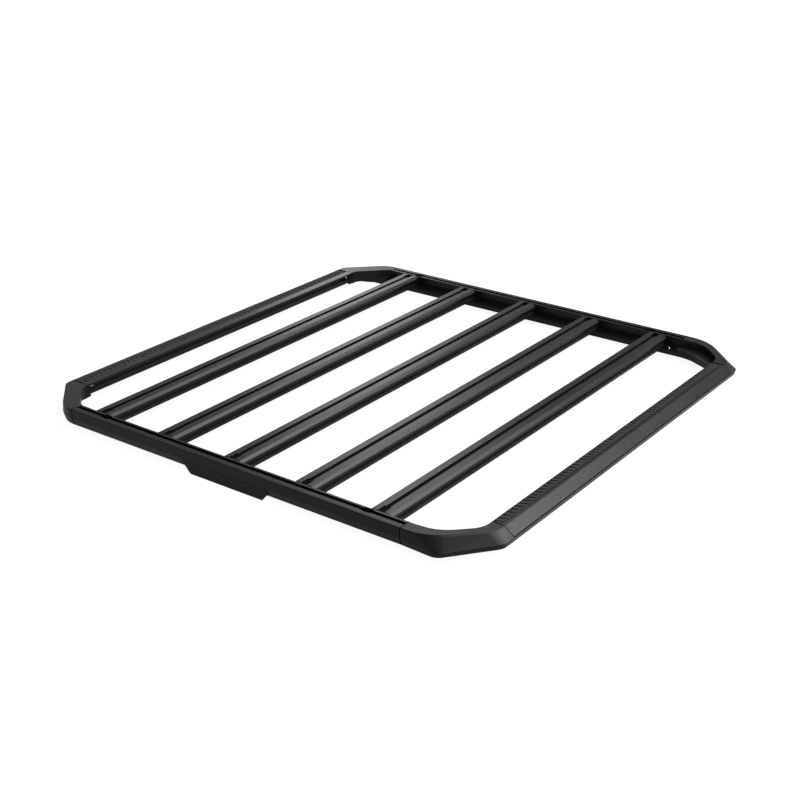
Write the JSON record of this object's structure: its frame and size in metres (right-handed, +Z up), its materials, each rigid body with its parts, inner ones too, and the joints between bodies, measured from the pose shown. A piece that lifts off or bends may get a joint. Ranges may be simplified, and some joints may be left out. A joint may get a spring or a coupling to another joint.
{
  "type": "flat platform roof rack",
  "caption": "Flat platform roof rack: a rectangular frame of slotted side rails, ribbed end rails and cast corners, bridged by slotted cross slats.",
  "frame": {"origin": "under the middle of the rack, level with the lower edges of the side plates", "axes": "+X towards the front of the car, +Y to its left, +Z up"},
  "size_m": [1.5, 1.495, 0.062],
  "materials": {
    "rail_black": "satin black powder coat on extruded aluminium",
    "slat_black": "satin black powder coat on extruded aluminium",
    "cast_black": "fine matt black powder coat on cast aluminium",
    "grip_black": "matt black ribbed rubber",
    "joiner_black": "matt black on solid aluminium bars, and on the screws",
    "plate_black": "satin black moulded plate"
  },
  "bodies": {
    "root": {"side_rail_left": "rail_black", "side_rail_right": "rail_black", "front_rail": "rail_black", "rear_rail": "rail_black", "front_grip_strip": "grip_black", "rear_grip_strip": "grip_black", "slat_1": "slat_black", "slat_2": "slat_black", "slat_3": "slat_black", "slat_4": "slat_black", "slat_5": "slat_black", "corner_front_left": "cast_black", "corner_front_right": "cast_black", "corner_rear_left": "cast_black", "corner_rear_right": "cast_black", "joiner_front_left_side": "joiner_black", "joiner_front_right_side": "joiner_black", "joiner_rear_left_side": "joiner_black", "joiner_rear_right_side": "joiner_black", "joiner_front_left_end": "joiner_black", "joiner_front_right_end": "joiner_black", "joiner_rear_left_end": "joiner_black", "joiner_rear_right_end": "joiner_black", "side_plate_left": "plate_black", "side_plate_right": "plate_black"}
  },
  "joints": []
}
